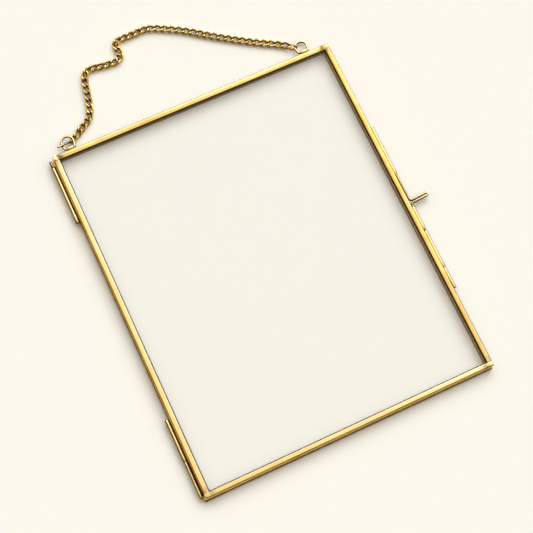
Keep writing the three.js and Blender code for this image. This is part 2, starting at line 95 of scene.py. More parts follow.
FAR_HIGHLIGHT_LOSS = 0.25  # the far strand of a link gets less of that painted highlight
FAR_SHADE = 0.5  # it has painted shade all round
FAR_INNER_SHADE = 1.3  # and more towards the link's inside
NEAR_SHADE = 0.7  # the near strand has painted shade only on its side away from the lamp


def smooth_route(points, per_span):
    """Points along a centripetal Catmull-Rom curve through the given ones."""
    ends = [2 * points[0] - points[1]] + points + [2 * points[-1] - points[-2]]
    made = []
    for a, b, c, d in zip(ends, ends[1:], ends[2:], ends[3:]):
        before, span, after = [max((q - p).length, 1e-9) ** 0.5 for p, q in ((a, b), (b, c), (c, d))]
        leaving = (b - a) / before - (c - a) / (before + span) + (c - b) / span
        arriving = (c - b) / span - (d - b) / (span + after) + (d - c) / after
        leaving, arriving = leaving * span, arriving * span
        for k in range(per_span):
            t = k / per_span
            made.append(
                b * (2 * t**3 - 3 * t**2 + 1) + leaving * (t**3 - 2 * t**2 + t)
                + c * (3 * t**2 - 2 * t**3) + arriving * (t**3 - t**2)
            )
    return made + [points[-1]]


def even_points(line, count):
    """count + 1 points at even distances along a fine line."""
    run = [0.0]
    for p, q in zip(line, line[1:]):
        run.append(run[-1] + (q - p).length)
    made, i = [], 0
    for k in range(count + 1):
        at = run[-1] * k / count
        while i < len(run) - 2 and run[i + 1] < at:
            i += 1
        made.append(line[i].lerp(line[i + 1], (at - run[i]) / (run[i + 1] - run[i])))
    return made


SAME_PLACE = 1e-6  # points nearer than this are one


def bent_path(corners, closed):
    """A flat path of straight runs and round bends; a corner is (x, y, bend radius, steps)."""
    path = []

    def add(point):
        if not path or (path[-1] - point).length > SAME_PLACE:
            path.append(point)

    count = len(corners)
    for i, (x, y, radius, steps) in enumerate(corners):
        corner = Vector((x, y, 0))
        if not closed and i in (0, count - 1):
            add(corner)
            continue
        arriving = (corner - Vector((*corners[i - 1][:2], 0))).normalized()
        leaving = (Vector((*corners[(i + 1) % count][:2], 0)) - corner).normalized()
        turn = math.atan2(arriving.cross(leaving).z, arriving.dot(leaving))
        start = corner - arriving * radius * math.tan(abs(turn) / 2)
        centre = start + Vector((-arriving.y, arriving.x, 0)) * radius * math.copysign(1, turn)
        for k in range(steps + 1):
            add(centre + Matrix.Rotation(turn * k / steps, 3, "Z") @ (start - centre))
    if closed and (path[0] - path[-1]).length < SAME_PLACE:
        path.pop()
    return path


def circle_points(centre, first, second, radius, count):
    """Points on a circle that lies in the plane of two directions."""
    angles = [2 * math.pi * k / count for k in range(count)]
    return [centre + (first * math.cos(a) + second * math.sin(a)) * radius for a in angles]


def wire_rings(path, diameter, sides, closed):
    """Rings of points round a wire along a path, without twist."""
    count = len(path)
    tangents = []
    for i in range(count):
        before = path[i] - path[i - 1] if closed or i > 0 else path[1] - path[0]
        after = path[(i + 1) % count] - path[i] if closed or i < count - 1 else path[-1] - path[-2]
        tangents.append((before.normalized() + after.normalized()).normalized())
    normal = tangents[0].orthogonal().normalized()
    normals = [normal]
    for a, b in zip(tangents, tangents[1:]):
        normal = a.rotation_difference(b) @ normal
        normals.append(normal)
    twist = 0.0
    if closed:
        carried = tangents[-1].rotation_difference(tangents[0]) @ normal
        twist = math.atan2(carried.cross(normals[0]).dot(tangents[0]), carried.dot(normals[0]))
    rings = []
    for i in range(count):
        first = Matrix.Rotation(twist * i / count, 3, tangents[i]) @ normals[i]
        rings.append(circle_points(path[i], first, tangents[i].cross(first), diameter / 2, sides))
    return rings


def join_pair(bm, a, b):
    """Faces between two rings of mesh points."""
    for j in range(len(a)):
        k = (j + 1) % len(a)
        bm.faces.new((a[j], a[k], b[k], b[j]))


def join_rings(bm, rings, closed, capped=False):
    """Faces between rings of points, in millimetres, added to a mesh in metres."""
    made = [[bm.verts.new(p * MM) for p in ring] for ring in rings]
    for a, b in list(zip(made, made[1:])) + ([(made[-1], made[0])] if closed else []):
        join_pair(bm, a, b)
    if capped:
        bm.faces.new(reversed(made[0]))
        bm.faces.new(made[-1])


SHARP_ANGLE = math.radians(35)


def finish_piece(name, bm, material):
    """A smooth-shaded object from a mesh, with its edges sharper than SHARP_ANGLE kept crisp."""
    bmesh.ops.recalc_face_normals(bm, faces=bm.faces)
    for face in bm.faces:
        face.smooth = True
    for edge in bm.edges:
        edge.smooth = len(edge.link_faces) == 2 and edge.calc_face_angle(0) < SHARP_ANGLE
    mesh = bpy.data.meshes.new(name)
    bm.to_mesh(mesh)
    bm.free()
    mesh.materials.append(material)
    piece = bpy.data.objects.new(name, mesh)
    scene.collection.objects.link(piece)
    return piece


def new_material(name):
    """A material with an empty node tree."""
    material = bpy.data.materials.new(name)
    material.use_nodes = True
    material.node_tree.nodes.clear()
    return material


def link(material, source, target):
    material.node_tree.links.new(source, target)


def add_node(material, kind, inputs=None, **settings):
    """A new node with its settings, its inputs given numbers, colours or other nodes' sockets."""
    node = material.node_tree.nodes.new("ShaderNode" + kind)
    for name, value in settings.items():
        setattr(node, name, value)
    for name, value in (inputs or {}).items():
        socket = node.inputs[name]
        if isinstance(value, bpy.types.NodeSocket):
            link(material, value, socket)
        else:
            socket.default_value = (*value, 1) if socket.type == "RGBA" else value
    return node


def show_surface(material, surface, output="OutputMaterial"):
    """Ends a node tree with its surface."""
    add_node(material, output, {"Surface": surface})
    return material


def noise_node(material, scale, detail, stretch=(1, 1, 1)):
    """Noise in the object's own place, with its grain drawn out by stretch."""
    place = add_node(material, "TexCoord").outputs["Object"]
    mapped = add_node(material, "Mapping", {"Vector": place, "Scale": stretch}).outputs["Vector"]
    inputs = {"Vector": mapped, "Scale": scale, "Detail": detail}
    return add_node(material, "TexNoise", inputs).outputs["Fac"]


def remap(material, source, low, high, to_low, to_high, kind="LINEAR"):
    """A value that goes from to_low to to_high while its source goes from low to high."""
    inputs = {"Value": source, "From Min": low, "From Max": high, "To Min": to_low, "To Max": to_high}
    return add_node(material, "MapRange", inputs, interpolation_type=kind).outputs["Result"]


def combine(material, operation, a, b):
    """The product or the larger of two values, as the operation says."""
    return add_node(material, "Math", {0: a, 1: b}, operation=operation).outputs["Value"]


def mix_colours(material, factor, a, b):
    return add_node(material, "Mix", {"Factor": factor, 6: a, 7: b}, data_type="RGBA").outputs[2]


HIGHLIGHT_GOLD = (0.96, 0.83, 0.42)  # the pale gold of a painted highlight
NOISE_RANGE = (0.3, 0.7)  # most of a noise's levels
BLOTCH_EDGES = (0.38, 0.62)  # the levels between which one gold turns into the other
SPECK_EDGES = (0.5, 0.75)
SPECK_FINENESS = 9  # how many times smaller the specks are than the blotches
SPECK_SHARE = 0.6
STAIN_AND_SHADE_SCALE = 900
STAIN_AND_SHADE_DRIFT = (0.85, 1.3)  # how much weaker and stronger the stains and painted shade get in small spots
GRAZING_WHITE = 0.3  # how far the metal's colour turns white where it is seen edge-on
ROUGHNESS_DRIFT = (-0.04, 0.08)
GRAIN_STRENGTH = 0.5


def brass(name, light, deep, stain_and_shade, roughness, blotch_scale, grain, relief):
    """Brass in two golds that drift into each other. Its mesh's marks paint it pale as a highlight,
    and dark with real stains and painted shade."""
    material = new_material(name)

    def marked(mark):
        return add_node(material, "Attribute", attribute_name=mark).outputs["Fac"]

    blotches = remap(material, noise_node(material, blotch_scale, 3), *BLOTCH_EDGES, 0, 1)
    golds = mix_colours(material, blotches, light, deep)
    specks = noise_node(material, blotch_scale * SPECK_FINENESS, 4)
    specks = remap(material, specks, *SPECK_EDGES, 0, SPECK_SHARE)
    golds = mix_colours(material, specks, golds, deep)
    golds = mix_colours(material, marked("painted_highlight"), golds, HIGHLIGHT_GOLD)
    uneven = remap(material, noise_node(material, STAIN_AND_SHADE_SCALE, 3), *NOISE_RANGE, *STAIN_AND_SHADE_DRIFT)
    darkening = combine(material, "MULTIPLY", marked("stain_and_shade"), uneven)
    colour = mix_colours(material, darkening, golds, stain_and_shade)
    drawn = noise_node(material, 1, 2, grain)
    smoothest, roughest = (roughness + drift for drift in ROUGHNESS_DRIFT)
    relief_inputs = {"Strength": GRAIN_STRENGTH, "Distance": relief * MM, "Height": drawn}
    shader = add_node(material, "BsdfPrincipled", {
        "Metallic": 1,
        "Base Color": colour,
        "Specular Tint": mix_colours(material, GRAZING_WHITE, colour, (1, 1, 1)),
        "Roughness": remap(material, drawn, *NOISE_RANGE, smoothest, roughest),
        "Normal": add_node(material, "Bump", relief_inputs).outputs["Normal"],
    })
    return show_surface(material, shader.outputs["BSDF"])


def set_mark(piece, mark, level_at):
    """Stores a mark at each point, from 0 to 1, such as its painted highlight or its stains and
    painted shade; level_at takes its place in millimetres and the way it faces."""
    mesh = piece.data
    values = mesh.attributes.new(mark, "FLOAT", "POINT")
    for vertex, item in zip(mesh.vertices, values.data):
        item.value = min(1, max(0, level_at(vertex.co / MM, vertex.normal)))


SHADE_SIDE = Vector((-0.6, -0.8, 0))  # towards the frame's lower left, away from the lamp: the side where shade is painted
TOP_STAIN = 0.45  # a wire's tarnish on its upper half
SHADE_SIDE_DARKENING = 1.7  # painted shade added towards the side away from the lamp
TOP_LIFT = 0.25  # less darkening at the very top, where the light falls
UNDER_SHADE = 1.1  # painted shade half way down a wire
UNDER_FALL = 1.5  # how fast that gets less towards the top
WIRE_HIGHLIGHT_FROM = 0.8  # a wire gets a painted highlight where it faces up more than this
WIRE_HIGHLIGHT_RISE = 3


def set_wire_light_and_stain(piece, extra_darkening):
    """A painted highlight makes a wire pale on top, and painted shade darkens it underneath and on
    its side away from the lamp, over a little tarnish on its upper half; the given function adds to
    that."""
    def wire_shade_and_stain(point, facing):
        upper = TOP_STAIN + SHADE_SIDE_DARKENING * facing.dot(SHADE_SIDE) - TOP_LIFT * facing.z
        return max(upper, UNDER_SHADE - UNDER_FALL * facing.z) + extra_darkening(point)

    set_mark(piece, "painted_highlight", lambda point, facing: (facing.z - WIRE_HIGHLIGHT_FROM) * WIRE_HIGHLIGHT_RISE)
    set_mark(piece, "stain_and_shade", wire_shade_and_stain)


chain_brass = brass(
    "chain_brass", light=(0.96, 0.76, 0.28), deep=(0.88, 0.57, 0.13), stain_and_shade=(0.085, 0.026, 0.003),
    roughness=0.13, blotch_scale=160, grain=(500, 500, 500), relief=0.02,
)


def chain_link(bm, start, end, wire, width, start_twist, end_twist, highlights, shades):
    """One link: an oval of wire that is twisted about its length, with its points' painted highlight
    and painted shade appended to the two lists. Its far strand is the one away from the shaded side."""
    length = (end - start).length + wire - LINK_SINK
    half = width / 2
    corners = ((-1, -1), (1, -1), (1, 1), (-1, 1))
    oval = bent_path([(x * length / 2, y * half, half, LINK_BEND_STEPS) for x, y in corners], True)
    along = (end - start).normalized()
    across = Vector((0, 0, 1)).cross(along).normalized()
    up = along.cross(across)
    middle = (start + end) / 2
    path = []
    for point in oval:
        twist = start_twist + (end_twist - start_twist) * (point.x / length + 0.5)
        turned = Matrix.Rotation(math.radians(twist), 3, "X") @ point
        path.append(middle + along * turned.x + across * turned.y + up * turned.z)
    rings = wire_rings(path, wire, LINK_SIDES, True)
    for centre, ring in zip(path, rings):
        inward = (middle - centre).normalized()
        far_strand = min(1, max(0, 0.5 + inward.dot(SHADE_SIDE)))
        for point in ring:
            outward = (point - centre).normalized()
            # A painted highlight on top, and painted shade on the far strand and on the near strand's
            # shaded side.
            highlight_from = LINK_HIGHLIGHT_FROM + FAR_HIGHLIGHT_LOSS * far_strand
            highlights.append((outward.z - highlight_from) * LINK_HIGHLIGHT_RISE)
            far_shade = FAR_SHADE + FAR_INNER_SHADE * outward.dot(inward)
            near_shade = NEAR_SHADE * max(0, outward.dot(SHADE_SIDE))
            shades.append(far_strand * far_shade + (1 - far_strand) * near_shade)
    join_rings(bm, rings, True)


chain_line = smooth_route([Vector(p) for p in CHAIN_ROUTE], ROUTE_STEPS)
chain_joints = even_points(chain_line, LINK_COUNT)
chain_bm = bmesh.new()
link_highlights, link_shades = [], []
for i in range(LINK_COUNT):
    last = i == LINK_COUNT - 1
    wire, width = (END_LINK_WIRE, END_LINK_WIDTH) if last or i == 0 else (LINK_WIRE, LINK_WIDTH)
    chain_link(
        chain_bm, chain_joints[i], chain_joints[i + 1], wire, width, LINK_TWIST,
        LAST_LINK_TWIST if last else -LINK_TWIST, link_highlights, link_shades,
    )
chain = finish_piece("curb_chain", chain_bm, chain_brass)
# Stores the links' painted highlight and painted shade.
for mark, levels in (("painted_highlight", iter(link_highlights)), ("stain_and_shade", iter(link_shades))):
    set_mark(chain, mark, lambda point, facing: next(levels))
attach(chain, "hanger")
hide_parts("hanging_chain")

# Toggle bar: a short brass rod with a small wire eye brazed to its end. It is pushed through the
# left ring and lies across the ring's wire, so that the chain can't slip out.
BAR_END = Vector((-98, 259.6, 6.8))
BAR_WIRE = 1.3
EYE_CENTRE = Vector((-87.6, 261.7, 1.65))
EYE_RADIUS = 1.3
EYE_WIRE = 0.7
EYE_ROLL = -60  # degrees about the bar
EYE_STEPS = 28
EYE_SIDES = 12
BAR_STAIN = 0.3
EYE_STAIN_REACH = 3.2  # the brazing's flux has left the bar dark this far from the eye's middle
WIRE_SIDES = 16
ROD_ROUND = 0.3  # how far a rod's end is rounded
ROD_ROUND_STEPS = 4


def rod_rings(start, end, diameter):
    """Rings of a rod with softly rounded ends."""
    along = (end - start).normalized()
    stations, scales = [], []
    for k in range(ROD_ROUND_STEPS + 1):
        angle = math.pi / 2 * k / ROD_ROUND_STEPS
        stations.append(start + along * ROD_ROUND * (1 - math.cos(angle)))
        scales.append(1 - (1 - math.sin(angle)) * 2 * ROD_ROUND / diameter)
    stations += [start + end - point for point in reversed(stations)]
    scales += reversed(scales)
    rings = wire_rings(stations, diameter, WIRE_SIDES, False)
    return [
        [centre + (point - centre) * scale for point in ring]
        for centre, scale, ring in zip(stations, scales, rings)
    ]


toggle_bm = bmesh.new()
bar_along = (EYE_CENTRE - BAR_END).normalized()
bar_foot = EYE_CENTRE - bar_along * EYE_RADIUS
join_rings(toggle_bm, rod_rings(BAR_END, bar_foot, BAR_WIRE), False, capped=True)
eye_normal = (Vector((0, 0, 1)) - bar_along * bar_along.z).normalized()
eye_normal = Matrix.Rotation(math.radians(EYE_ROLL), 3, bar_along) @ eye_normal
eye_across = eye_normal.cross(bar_along)
eye_path = circle_points(EYE_CENTRE, bar_along, eye_across, EYE_RADIUS, EYE_STEPS)
join_rings(toggle_bm, wire_rings(eye_path, EYE_WIRE, EYE_SIDES, True), True)
toggle = finish_piece("toggle_bar_with_eye", toggle_bm, chain_brass)
set_wire_light_and_stain(
    toggle, lambda point: BAR_STAIN + max(0, 1 - (point - EYE_CENTRE).length / EYE_STAIN_REACH),
)
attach(toggle, "hanger")
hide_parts("chain_toggle_bar")

# Rails: brass strip folded to a channel round the pane's edge, with a softly crowned face and
# rounded outer edges. Top and bottom rails run the leaf's full width with folded-in ends, the side
# rails butt between them, and both are browned by the torch near the corners.
RAIL_METAL = 0.5
FACE_CROWN = 14  # radius of the face's crown
OUTER_ROUND = 1.1
LIP_ROUND = 0.2
BACK_ROUND = 0.2
LIP_STEPS, CROWN_STEPS, OUTER_STEPS, BACK_STEPS = 3, 10, 6, 4
END_ROUND = 0.5
END_ROUND_STEPS = 5
END_LIP = 0.1  # a folded end closes this far from the lip
RAIL_FACE = 3.4
REAR_SPREAD = 0.7  # the rear bottom rail is folded this much wider at its outer side
FRONT_SPREAD = 0.4  # and the front top and left rails this much wider at their lips
RAIL_STATION = 3.0  # distance between the sections of a rail
END_STATIONS = (0.0, 0.12, 0.3, 0.6, 1.0, 1.5, 2.1, 2.9, 4.0, 5.5, 7.5)  # closer ones by the ends
FACE_WAVE = 0.03  # how far the strip's face rises and falls along its length
WAVE_ALONG, WAVE_ACROSS = 0.06, 0.9
WAVE_SHIFT = 7.3  # gives each rail its own waves


def round_points(centre, radius, from_angle, to_angle, steps):
    """Points on an arc; angles are in radians from across to up."""
    made = []
    for k in range(steps + 1):
        angle = from_angle + (to_angle - from_angle) * k / steps
        made.append((centre[0] + radius * math.cos(angle), centre[1] + radius * math.sin(angle)))
    return made


def rail_outline(face, depth):
    """(outer points, groove points) of a rail's section, as (across from the outer wall, up)."""
    def under_crown(across, radius):
        reach = (FACE_CROWN - radius) ** 2 - (across - face / 2) ** 2
        return (across, depth - FACE_CROWN + math.sqrt(reach))

    crown = (face / 2, depth - FACE_CROWN)
    lip = under_crown(face - LIP_ROUND, LIP_ROUND)
    edge = under_crown(OUTER_ROUND, OUTER_ROUND)
    lip_angle = math.atan2(lip[1] - crown[1], lip[0] - crown[0])
    edge_angle = math.atan2(edge[1] - crown[1], edge[0] - crown[0])
    outer = [(face, depth - RAIL_METAL)]
    outer += round_points(lip, LIP_ROUND, 0, lip_angle, LIP_STEPS)
    outer += round_points(crown, FACE_CROWN, lip_angle, edge_angle, CROWN_STEPS)[1:]
    outer += round_points(edge, OUTER_ROUND, edge_angle, math.pi, OUTER_STEPS)[1:]
    outer += round_points((BACK_ROUND, BACK_ROUND), BACK_ROUND, math.pi, 1.5 * math.pi, BACK_STEPS)
    outer += [(face - LIP_ROUND, 0), (face, LIP_ROUND), (face, RAIL_METAL)]
    groove = [(RAIL_METAL, RAIL_METAL), (RAIL_METAL, depth - RAIL_METAL)]
    return outer, groove


def rail_mesh(length, face, depth, folded_ends, seed):
    """A rail along X from 0 to length, its outer wall at y = 0, a little uneven as made by hand."""
    bm = bmesh.new()
    outer, groove = rail_outline(face, depth)
    start = END_ROUND if folded_ends else 0
    run = length - 2 * start
    near, far = END_STATIONS, [run - at for at in reversed(END_STATIONS)]
    count = round((far[0] - near[-1]) / RAIL_STATION)
    middle = [near[-1] + (far[0] - near[-1]) * k / count for k in range(1, count)]

    def section(x, points, inset=0.0):
        """A section's points, drawn in towards its middle by inset."""
        made = []
        for across, up in points:
            core_across = min(max(across, END_ROUND), face - END_LIP)
            core = Vector((core_across, min(max(up, END_ROUND), depth - END_ROUND)))
            place = Vector((across, up))
            place += (core - place).normalized() * inset
            spot = Vector((x * WAVE_ALONG, across * WAVE_ACROSS + seed * WAVE_SHIFT, seed))
            lift = FACE_WAVE * noise.noise(spot) if up > depth - RAIL_METAL else 0
            made.append(bm.verts.new(Vector((x, place.x, place.y + lift)) * MM))
        return made

    sections = [section(start + at, outer + groove) for at in (*near, *middle, *far)]
    for a, b in zip(sections, sections[1:]):
        join_pair(bm, a, b)
    for end, sign in ((sections[0], -1), (sections[-1], 1)):
        if not folded_ends:
            bm.faces.new(end)
            continue
        bm.faces.new([end[len(outer) - 1], *end[len(outer):], end[0]])
        x = start if sign < 0 else length - start
        skin = end[:len(outer)]
        for k in range(1, END_ROUND_STEPS + 1):
            angle = math.pi / 2 * k / END_ROUND_STEPS
            inset = END_ROUND * (1 - math.cos(angle))
            following = section(x + sign * END_ROUND * math.sin(angle), outer, inset)
            join_pair(bm, skin, following)
            skin = following
        bm.faces.new(skin)
    return bm


RAIL_FINISH = dict(
    light=(0.84, 0.62, 0.21), deep=(0.76, 0.47, 0.10), stain_and_shade=(0.075, 0.034, 0.010),
    roughness=0.2, blotch_scale=70, relief=0.03,
)
rail_brass_lengthwise = {
    "x": brass("rail_brass_drawn_along_x", grain=(60, 1500, 1500), **RAIL_FINISH),
    "y": brass("rail_brass_drawn_along_y", grain=(1500, 60, 1500), **RAIL_FINISH),
}
HIGHLIGHT_FROM = {"left": 0.96, "bottom": 0.96, "top": 0.3, "right": 0.3}  # painted highlight where a face faces up more than this
SIDE_HIGHLIGHT = {  # how strong a side's painted highlight is, at its low and its high end
    "left": (0.65, 0.55), "bottom": (0.45, 0.95), "top": (0.15, 0), "right": (0.12, 0),
}
# a stronger painted highlight along the face's margins
MARGIN_HIGHLIGHT = {"left": 0.9, "bottom": 0.95, "top": 0.4, "right": 0.05}
OUTER_MARGIN = OUTER_ROUND + 0.25
LIP_MARGIN = 0.5
JOINT_LINE = 0.3  # width of the dark line where a side rail butts against the others
TORCHED = {("top", True): 1, ("top", False): 0.95, ("bottom", False): 0.6}  # side, whether low end
TORCHED_ELSEWHERE = 0.4
TORCH_PATCHES = (0.75, 0.8, 0.7)  # mean, swing and fineness of the browning
TORCH_PLACE = 1.8  # from the joint
TORCH_SPREAD = 2.3
# Painted shade: on the lip's inner edge, in the groove and on the outer walls.
LIP_SHADE = {"front": 1, "rear": 0.35}
LIP_EDGE = 0.12
GROOVE_SHADE = {"front": 0.8, "rear": 0.4}
GROOVE_FROM = RAIL_METAL - 0.05  # from the outer wall
GROOVE_HEIGHTS = (RAIL_METAL - 0.1, 2.95)  # above the rail's back
WALL_SHADE = {"front": 0.35, "rear": 1.1}
WALL_WIDTH = 0.25
WALL_PATCHES = (1.1, 0.5, 0.6)
WALL_FADE = 0.1  # less painted shade for each millimetre up the wall
EDGE_BELOW = OUTER_ROUND + 0.1  # the rounded edge's foot, below the face
EDGE_OUTLINE = {"top": 0.4, "right": 0.45}  # painted dark reflection along the front leaf's rounded edge
OUTLINE_WIDTH = 0.7
LOW_RIGHT_OUTLINE = 0.6  # more of it low down on the right
LOW_RIGHT_TOP = 120
LOW_RIGHT_FADE = 30
BOTTOM_MARGIN_SHADE = 0.4  # painted shade on the rounded edge of the wider rear bottom rail
BOTTOM_MARGIN = 1.2
UNSHADED_WALLS = {"right": ((70, 172),), "top": ((-94, -87), (85, 92))}  # where the walls' painted shade is lifted, beside the tubes there
UNSHADED_SHARE = 0.12  # the part of the painted shade that is left there
UNSHADED_FADE = 14
HINGE_SHADE_WALLS = ((0.7, 56.4), (204.7, 244.5))  # the left walls' lengths painted black as the shade beside the hinge tubes
HINGE_SHADE_WIDTH = 0.6
HINGE_EDGE_SHADE = {"rear": 0.4, "front": 0}  # the painted shade on the rounded edge there


def rail_box(leaf, side):
    """A rail's low and high corners in millimetres; the side rails end at their leaf's top rail."""
    low, high = (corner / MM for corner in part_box(f"{leaf}_{side}_rail"))
    if (leaf, side) == ("rear", "bottom"):
        low.y -= REAR_SPREAD
    if (leaf, side) == ("front", "top"):
        low.y -= FRONT_SPREAD
    if (leaf, side) == ("front", "left"):
        high.x += FRONT_SPREAD
    if leaf == "front" and side in ("left", "right"):
        high.y -= FRONT_SPREAD
    return low, high


def patchy(point, mean, swing, fineness):
    """A level that comes and goes in patches."""
    return mean + swing * noise.noise(point * fineness)


def make_rail(leaf, side, seed):
    """One rail in the place of its solid, with its painted highlight, painted shade and stains."""
    low, high = rail_box(leaf, side)
    size = high - low
    along_x = side in ("top", "bottom")
    length, face = (size.x, size.y) if along_x else (size.y, size.x)
    bm = rail_mesh(length, face, size.z, along_x, seed)
    turn, corner = {
        "bottom": (0, low),
        "top": (180, Vector((high.x, high.y, low.z))),
        "left": (-90, Vector((low.x, high.y, low.z))),
        "right": (90, Vector((high.x, low.y, low.z))),
    }[side]
    placed = Matrix.Translation(corner * MM) @ Matrix.Rotation(math.radians(turn), 4, "Z")
    bmesh.ops.transform(bm, verts=bm.verts, matrix=placed)
    rail_brass = rail_brass_lengthwise["x" if along_x else "y"]
    rail = finish_piece(f"{leaf}_{side}_rail_channel", bm, rail_brass)
    ends = (low.x, high.x) if along_x else (low.y, high.y)
    middle = sum(ends) / 2
    outer_wall = {"bottom": low.y, "top": high.y, "left": low.x, "right": high.x}[side]
    edge_level = high.z - EDGE_BELOW

    def along_and_across(point):
        """A point's place along the rail, and its distance from the outer wall."""
        at, off = (point.x, point.y) if along_x else (point.y, point.x)
        return at, abs(off - outer_wall)

    def rail_highlight(point, facing):
        """Painted highlight: pale along the face's two margins, and over the face, more on the left
        and bottom sides.
        """
        if facing.z < HIGHLIGHT_FROM[side]:
            return 0
        at, across = along_and_across(point)
        at_low, at_high = SIDE_HIGHLIGHT[side]
        face_highlight = at_low + (at_high - at_low) * (at - ends[0]) / (ends[1] - ends[0])
        margin = across < OUTER_MARGIN or across > face - LIP_MARGIN
        return max(face_highlight, MARGIN_HIGHLIGHT[side]) if margin else face_highlight

    def rail_shade_and_stain(point, facing):
        """Painted shade on the walls, lip, groove and rounded edge, dark joints, and browning by the
        torch near the corners.
        """
        at, across = along_and_across(point)
        up = point.z - low.z
        nearest = min(abs(at - ends[0]), abs(at - ends[1]))
        joint = 0 if along_x else max(0, 1 - nearest / JOINT_LINE)
        from_corner = nearest - RAIL_FACE if along_x else nearest
        torch = TORCHED.get((side, at < middle), TORCHED_ELSEWHERE) * patchy(point, *TORCH_PATCHES)
        torch *= math.exp(-(((from_corner - TORCH_PLACE) / TORCH_SPREAD) ** 2))
        lip = LIP_SHADE[leaf] if across > face - LIP_EDGE else 0
        in_groove = GROOVE_FROM < across and GROOVE_HEIGHTS[0] < up < GROOVE_HEIGHTS[1]
        groove = GROOVE_SHADE[leaf] if in_groove else 0
        wall = 0
        if across < WALL_WIDTH:
            wall = WALL_SHADE[leaf] * patchy(point, *WALL_PATCHES) - WALL_FADE * up
        on_edge = across < OUTLINE_WIDTH and point.z > edge_level
        if leaf == "front" and side in EDGE_OUTLINE and on_edge:
            wall = EDGE_OUTLINE[side]
            if side == "right":
                wall += LOW_RIGHT_OUTLINE * min(1, max(0, (LOW_RIGHT_TOP - at) / LOW_RIGHT_FADE))
        if (leaf, side) == ("rear", "bottom") and WALL_WIDTH <= across < BOTTOM_MARGIN:
            wall = BOTTOM_MARGIN_SHADE
        if side in UNSHADED_WALLS:
            from_unshaded = min(max(start - at, at - end, 0) for start, end in UNSHADED_WALLS[side])
            wall *= min(1, UNSHADED_SHARE + from_unshaded / UNSHADED_FADE)
        # Painted black shade beside the hinge tubes.
        hinge_shaded = side == "left" and any(start < at < end for start, end in HINGE_SHADE_WALLS)
        if hinge_shaded and across < HINGE_SHADE_WIDTH:
            walled = across < WALL_WIDTH if leaf == "rear" else point.z < edge_level
            wall = 1 if walled else HINGE_EDGE_SHADE[leaf]
        return max(joint, torch, lip, groove, wall)

    set_mark(rail, "painted_highlight", rail_highlight)
    set_mark(rail, "stain_and_shade", rail_shade_and_stain)
    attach(rail, f"{leaf}_leaf")
    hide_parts(f"{leaf}_{side}_rail")


for leaf_number, leaf in enumerate(("rear", "front")):
    for side_number, side in enumerate(("top", "bottom", "left", "right")):
        make_rail(leaf, side, 4 * leaf_number + side_number)

# Panes: clear picture glass, one pane in each leaf, cut to size so that its edges sit in the rails'
# grooves. It is very slightly wavy, and a band of painted shade lies on it along the rails' lips.
GLASS_TINT = (0.972, 0.971, 0.974)
SHADOW_TINT = (1, 1, 0.995)
GLASS_BEND = 1.3  # its index of refraction
GLASS_WAVE = 0.02  # how far the glass rises and falls
GLASS_WAVE_STRENGTH = 0.2
GLASS_WAVE_SCALE = 25
# A band of painted shade on the glass along the rails' lips, near black in the front leaf and olive
# in the rear.
LIP_SHADE_WIDTH = 0.8
LIP_SHADE_CORE = 0.35  # the part of the width next to the lip that is fully shaded
LIP_SHADE_COLOUR = {"front": (0.085, 0.046, 0.011), "rear": (0.26, 0.19, 0.055)}


def mix_shaders(material, factor, a, b):
    return add_node(material, "MixShader", {0: factor, 1: a, 2: b}).outputs["Shader"]


def picture_glass(name, middle, half_width, half_height, lip_shade_colour):
    """Clear glass that lets the lamp's and the table's light through without bending it, with a band
    of painted shade along the rails' lips, at half_width and half_height from its middle."""
    material = new_material(name)
    waves = noise_node(material, GLASS_WAVE_SCALE, 1)
    wave_inputs = {"Strength": GLASS_WAVE_STRENGTH, "Distance": GLASS_WAVE * MM, "Height": waves}
    glass = add_node(material, "BsdfPrincipled", {
        "Base Color": GLASS_TINT,
        "Transmission Weight": 1,
        "IOR": GLASS_BEND,
        "Roughness": 0,
        "Normal": add_node(material, "Bump", wave_inputs).outputs["Normal"],
    })
    clear = add_node(material, "BsdfTransparent", {"Color": SHADOW_TINT})
    shade_sheet = add_node(material, "BsdfDiffuse", {"Color": lip_shade_colour})
    rays = add_node(material, "LightPath").outputs
    passing = combine(material, "MAXIMUM", rays["Is Shadow Ray"], rays["Is Diffuse Ray"])
    place = add_node(material, "TexCoord").outputs["Object"]
    off = add_node(material, "VectorMath", {0: place, 1: middle}, operation="SUBTRACT").outputs[0]
    off = add_node(material, "VectorMath", {0: off}, operation="ABSOLUTE").outputs[0]
    sides = add_node(material, "SeparateXYZ", {"Vector": off}).outputs
    margins = []
    for side, half in (("X", half_width), ("Y", half_height)):
        inner, full = half - LIP_SHADE_WIDTH * MM, half - LIP_SHADE_CORE * MM
        margins.append(remap(material, sides[side], inner, full, 0, 1))
    darkening = combine(material, "MAXIMUM", *margins)
    shaded_glass = mix_shaders(material, darkening, glass.outputs["BSDF"], shade_sheet.outputs["BSDF"])
    return show_surface(material, mix_shaders(material, passing, shaded_glass, clear.outputs["BSDF"]))


for leaf in ("rear", "front"):
    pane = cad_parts[f"{leaf}_glass_pane"]
    corners = [vertex.co for vertex in pane.data.vertices]
    middle = (Vector(map(min, *corners)) + Vector(map(max, *corners))) / 2
    opening_low = Vector((rail_box(leaf, "left")[1].x, rail_box(leaf, "bottom")[1].y, 0)) * MM
    opening_high = Vector((rail_box(leaf, "right")[0].x, rail_box(leaf, "top")[0].y, 0)) * MM
    pane_low, pane_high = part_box(f"{leaf}_glass_pane")
    shift = (opening_low + opening_high - pane_low - pane_high) / 2
    middle += Vector((shift.x, shift.y, 0))
    half = (opening_high - opening_low) / 2
    pane.data.materials.clear()
    glass = picture_glass(f"{leaf}_picture_glass", middle, half.x, half.y, LIP_SHADE_COLOUR[leaf])
    pane.data.materials.append(glass)

